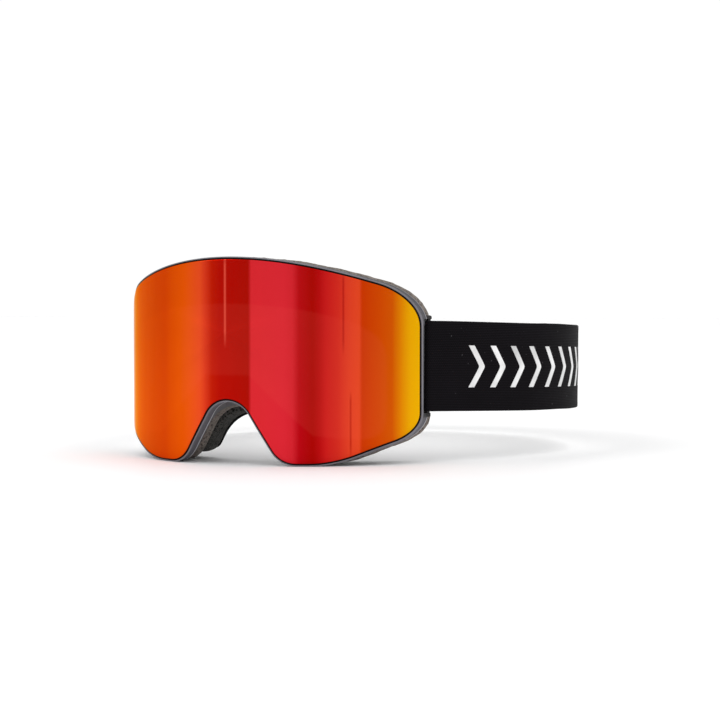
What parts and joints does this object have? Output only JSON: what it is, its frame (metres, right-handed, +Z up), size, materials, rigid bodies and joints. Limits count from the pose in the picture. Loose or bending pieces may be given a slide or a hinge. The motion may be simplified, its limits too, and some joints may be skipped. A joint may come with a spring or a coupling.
{
  "type": "ski goggles",
  "caption": "Cylindrical-lens ski goggles: magnetic lens module, vented soft frame, layered face foam and an elastic head strap with sliding adjusters.",
  "frame": {"origin": "centre of the bounding box at its bottom: on the surface the goggles stand on, halfway between the lens front and the strap's rear", "axes": "+Z up, the lens faces -Y, +Y towards the back of the wearer's head, +X to the wearer's left"},
  "size_m": [0.2494, 0.2729, 0.1017],
  "materials": {
    "lens_mirror": "gloss",
    "lens_clear": "gloss",
    "spacer_foam": "matte",
    "carrier": "satin",
    "magnet": "satin",
    "frame": "satin",
    "vent_foam": "matte",
    "base_foam": "matte",
    "face_foam": "matte",
    "fleece": "matte",
    "pin": "satin",
    "webbing": "matte",
    "webbing_tail": "matte",
    "silicone": "gloss",
    "adjuster": "satin",
    "print": "satin"
  },
  "bodies": {
    "goggle_frame": {"face_frame": "frame", "frame_magnets": "magnet", "top_vent_foam": "vent_foam", "bottom_vent_foam_left": "vent_foam", "bottom_vent_foam_right": "vent_foam", "base_foam": "base_foam", "face_foam": "face_foam", "fleece_lining": "fleece", "anchor_pin_left": "pin", "anchor_pin_right": "pin", "strap": "webbing", "strap_tail_left": "webbing_tail", "strap_tail_right": "webbing_tail", "grip_strips": "silicone", "strap_print_left": "print", "strap_print_right": "print"},
    "lens_module": {"outer_lens": "lens_mirror", "inner_lens": "lens_clear", "lens_spacer": "spacer_foam", "lens_carrier": "carrier", "lens_magnets": "magnet"},
    "left_slider": {"adjuster_left": "adjuster", "tail_loop_left": "webbing_tail"},
    "right_slider": {"adjuster_right": "adjuster", "tail_loop_right": "webbing_tail"}
  },
  "joints": [
    {"name": "lens_pull", "type": "slide", "parent": "goggle_frame", "child": "lens_module", "axis": [0, -1, 0], "range_m": [0, 0.06]},
    {"name": "left_adjuster_slide", "type": "hinge", "parent": "goggle_frame", "child": "left_slider", "pos_m": [0, 0.01155, 0.0454], "axis": [0, 0.0262, 0.9997], "range_deg": [-14, 12], "deforming": ["strap_tail_left"]},
    {"name": "right_adjuster_slide", "type": "hinge", "parent": "goggle_frame", "child": "right_slider", "pos_m": [0, 0.01155, 0.0454], "axis": [0, -0.0262, -0.9997], "range_deg": [-14, 12], "deforming": ["strap_tail_right"]}
  ]
}
